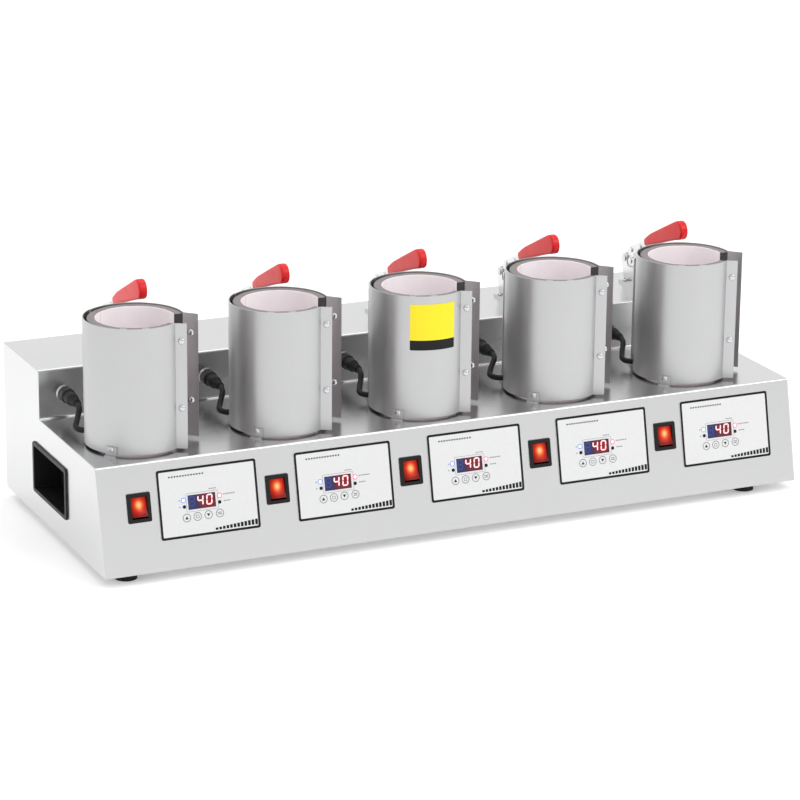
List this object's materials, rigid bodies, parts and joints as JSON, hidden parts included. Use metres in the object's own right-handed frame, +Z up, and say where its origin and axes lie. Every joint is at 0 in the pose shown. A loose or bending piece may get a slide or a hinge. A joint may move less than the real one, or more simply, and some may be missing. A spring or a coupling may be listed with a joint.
{
  "type": "mug heat press",
  "caption": "Bench heat press that clamps a row of mugs in heated bands, each with a toggle clamp, a rocker switch and a small temperature controller.",
  "frame": {"origin": "on the ground, under the middle of the machine", "axes": "+X along the machine to the operator's right, +Y towards the back, +Z up"},
  "size_m": [0.827, 0.3236, 0.2794],
  "materials": {
    "powder_coat": "light grey powder coat, satin",
    "foot_rubber": "black moulded rubber",
    "zinc_screw": "bright zinc plated",
    "black_plastic": "black moulded plastic",
    "overlay_film": "printed polycarbonate film",
    "circuit_board": "green solder mask",
    "display_window": "dark red filter window",
    "relay_plastic": "moulded thermoplastic",
    "nickel_ring": "nickel plated brass",
    "cable_jacket": "black silicone sleeve",
    "band_steel": "satin stainless sheet",
    "silicone_pad": "silicone rubber heater with a pale fabric face",
    "clamp_steel": "zinc plated pressed steel",
    "red_grip": "dipped red vinyl",
    "red_rocker": "translucent red, lit from inside"
  },
  "bodies": {
    "root": {"top_cover": "powder_coat", "side_panel_left": "powder_coat", "side_panel_right": "powder_coat", "rear_panel": "powder_coat", "base_plate": "powder_coat", "rubber_feet": "foot_rubber", "pan_head_screws": "zinc_screw", "carry_handles": "black_plastic", "controller_overlays": "overlay_film", "controller_boards": "circuit_board", "display_modules": "display_window", "power_relays": "relay_plastic", "switch_bodies": "black_plastic", "panel_sockets": "nickel_ring", "cable_plugs": "black_plastic", "heater_cables": "cable_jacket", "front_bands": "band_steel", "front_pads": "silicone_pad", "band_hinge_pins": "zinc_screw", "band_rivets": "zinc_screw", "band_feet": "band_steel", "clamp_bodies": "clamp_steel", "clamp_pins": "zinc_screw", "mains_inlet": "black_plastic", "terminal_block": "relay_plastic"},
    "lever_1": {"lever_arm_1": "clamp_steel", "lever_grip_1": "red_grip"},
    "link_1": {"clamp_link_1": "clamp_steel"},
    "push_rod_1": {"plunger_1": "clamp_steel"},
    "jaw_1": {"rear_band_1": "band_steel", "rear_pad_1": "silicone_pad"},
    "switch_1": {"rocker_1": "red_rocker"},
    "lever_2": {"lever_arm_2": "clamp_steel", "lever_grip_2": "red_grip"},
    "link_2": {"clamp_link_2": "clamp_steel"},
    "push_rod_2": {"plunger_2": "clamp_steel"},
    "jaw_2": {"rear_band_2": "band_steel", "rear_pad_2": "silicone_pad"},
    "switch_2": {"rocker_2": "red_rocker"},
    "lever_3": {"lever_arm_3": "clamp_steel", "lever_grip_3": "red_grip"},
    "link_3": {"clamp_link_3": "clamp_steel"},
    "push_rod_3": {"plunger_3": "clamp_steel"},
    "jaw_3": {"rear_band_3": "band_steel", "rear_pad_3": "silicone_pad"},
    "switch_3": {"rocker_3": "red_rocker"},
    "lever_4": {"lever_arm_4": "clamp_steel", "lever_grip_4": "red_grip"},
    "link_4": {"clamp_link_4": "clamp_steel"},
    "push_rod_4": {"plunger_4": "clamp_steel"},
    "jaw_4": {"rear_band_4": "band_steel", "rear_pad_4": "silicone_pad"},
    "switch_4": {"rocker_4": "red_rocker"},
    "lever_5": {"lever_arm_5": "clamp_steel", "lever_grip_5": "red_grip"},
    "link_5": {"clamp_link_5": "clamp_steel"},
    "push_rod_5": {"plunger_5": "clamp_steel"},
    "jaw_5": {"rear_band_5": "band_steel", "rear_pad_5": "silicone_pad"},
    "switch_5": {"rocker_5": "red_rocker"}
  },
  "joints": [
    {"name": "lever_1_hinge", "type": "hinge", "parent": "root", "child": "lever_1", "pos_m": [-0.30931, 0.124, 0.206], "axis": [-1, 0, 0], "range_deg": [0, 65]},
    {"name": "link_1_hinge", "type": "hinge", "parent": "lever_1", "child": "link_1", "pos_m": [-0.30931, 0.109, 0.206], "axis": [-1, 0, 0], "range_deg": [-130.2, 0]},
    {"name": "plunger_1_slide", "type": "slide", "parent": "root", "child": "push_rod_1", "axis": [0, 1, 0], "range_m": [0, 0.01735]},
    {"name": "jaw_1_hinge", "type": "hinge", "parent": "root", "child": "jaw_1", "pos_m": [-0.37895, -0.02516, 0.193], "axis": [0, 0, 1], "range_deg": [0, 8.05]},
    {"name": "switch_1_rocker", "type": "hinge", "parent": "root", "child": "switch_1", "pos_m": [-0.36756, -0.14415, 0.07725], "axis": [1, 0, 0], "range_deg": [0, 20]},
    {"name": "lever_2_hinge", "type": "hinge", "parent": "root", "child": "lever_2", "pos_m": [-0.14597, 0.124, 0.206], "axis": [-1, 0, 0], "range_deg": [0, 65]},
    {"name": "link_2_hinge", "type": "hinge", "parent": "lever_2", "child": "link_2", "pos_m": [-0.14597, 0.109, 0.206], "axis": [-1, 0, 0], "range_deg": [-130.2, 0]},
    {"name": "plunger_2_slide", "type": "slide", "parent": "root", "child": "push_rod_2", "axis": [0, 1, 0], "range_m": [0, 0.01735]},
    {"name": "jaw_2_hinge", "type": "hinge", "parent": "root", "child": "jaw_2", "pos_m": [-0.21561, -0.02516, 0.193], "axis": [0, 0, 1], "range_deg": [0, 8.05]},
    {"name": "switch_2_rocker", "type": "hinge", "parent": "root", "child": "switch_2", "pos_m": [-0.21312, -0.14415, 0.07725], "axis": [1, 0, 0], "range_deg": [0, 20]},
    {"name": "lever_3_hinge", "type": "hinge", "parent": "root", "child": "lever_3", "pos_m": [0.01737, 0.124, 0.206], "axis": [-1, 0, 0], "range_deg": [0, 65]},
    {"name": "link_3_hinge", "type": "hinge", "parent": "lever_3", "child": "link_3", "pos_m": [0.01737, 0.109, 0.206], "axis": [-1, 0, 0], "range_deg": [-130.2, 0]},
    {"name": "plunger_3_slide", "type": "slide", "parent": "root", "child": "push_rod_3", "axis": [0, 1, 0], "range_m": [0, 0.01735]},
    {"name": "jaw_3_hinge", "type": "hinge", "parent": "root", "child": "jaw_3", "pos_m": [-0.05227, -0.02516, 0.193], "axis": [0, 0, 1], "range_deg": [0, 8.05]},
    {"name": "switch_3_rocker", "type": "hinge", "parent": "root", "child": "switch_3", "pos_m": [-0.05868, -0.14415, 0.07725], "axis": [1, 0, 0], "range_deg": [0, 20]},
    {"name": "lever_4_hinge", "type": "hinge", "parent": "root", "child": "lever_4", "pos_m": [0.18071, 0.124, 0.206], "axis": [-1, 0, 0], "range_deg": [0, 65]},
    {"name": "link_4_hinge", "type": "hinge", "parent": "lever_4", "child": "link_4", "pos_m": [0.18071, 0.109, 0.206], "axis": [-1, 0, 0], "range_deg": [-130.2, 0]},
    {"name": "plunger_4_slide", "type": "slide", "parent": "root", "child": "push_rod_4", "axis": [0, 1, 0], "range_m": [0, 0.01735]},
    {"name": "jaw_4_hinge", "type": "hinge", "parent": "root", "child": "jaw_4", "pos_m": [0.11107, -0.02516, 0.193], "axis": [0, 0, 1], "range_deg": [0, 8.05]},
    {"name": "switch_4_rocker", "type": "hinge", "parent": "root", "child": "switch_4", "pos_m": [0.09576, -0.14415, 0.07725], "axis": [1, 0, 0], "range_deg": [0, 20]},
    {"name": "lever_5_hinge", "type": "hinge", "parent": "root", "child": "lever_5", "pos_m": [0.34405, 0.124, 0.206], "axis": [-1, 0, 0], "range_deg": [0, 65]},
    {"name": "link_5_hinge", "type": "hinge", "parent": "lever_5", "child": "link_5", "pos_m": [0.34405, 0.109, 0.206], "axis": [-1, 0, 0], "range_deg": [-130.2, 0]},
    {"name": "plunger_5_slide", "type": "slide", "parent": "root", "child": "push_rod_5", "axis": [0, 1, 0], "range_m": [0, 0.01735]},
    {"name": "jaw_5_hinge", "type": "hinge", "parent": "root", "child": "jaw_5", "pos_m": [0.27441, -0.02516, 0.193], "axis": [0, 0, 1], "range_deg": [0, 8.05]},
    {"name": "switch_5_rocker", "type": "hinge", "parent": "root", "child": "switch_5", "pos_m": [0.2502, -0.14415, 0.07725], "axis": [1, 0, 0], "range_deg": [0, 20]}
  ],
  "couplings": [
    {"joint": "link_1_hinge", "follows": "lever_1_hinge", "ratio": -2},
    {"joint": "plunger_1_slide", "follows": "lever_1_hinge", "m_per_rad": 0.015268},
    {"joint": "jaw_1_hinge", "follows": "lever_1_hinge", "ratio": 0.12308},
    {"joint": "link_2_hinge", "follows": "lever_2_hinge", "ratio": -2},
    {"joint": "plunger_2_slide", "follows": "lever_2_hinge", "m_per_rad": 0.015268},
    {"joint": "jaw_2_hinge", "follows": "lever_2_hinge", "ratio": 0.12308},
    {"joint": "link_3_hinge", "follows": "lever_3_hinge", "ratio": -2},
    {"joint": "plunger_3_slide", "follows": "lever_3_hinge", "m_per_rad": 0.015268},
    {"joint": "jaw_3_hinge", "follows": "lever_3_hinge", "ratio": 0.12308},
    {"joint": "link_4_hinge", "follows": "lever_4_hinge", "ratio": -2},
    {"joint": "plunger_4_slide", "follows": "lever_4_hinge", "m_per_rad": 0.015268},
    {"joint": "jaw_4_hinge", "follows": "lever_4_hinge", "ratio": 0.12308},
    {"joint": "link_5_hinge", "follows": "lever_5_hinge", "ratio": -2},
    {"joint": "plunger_5_slide", "follows": "lever_5_hinge", "m_per_rad": 0.015268},
    {"joint": "jaw_5_hinge", "follows": "lever_5_hinge", "ratio": 0.12308}
  ]
}
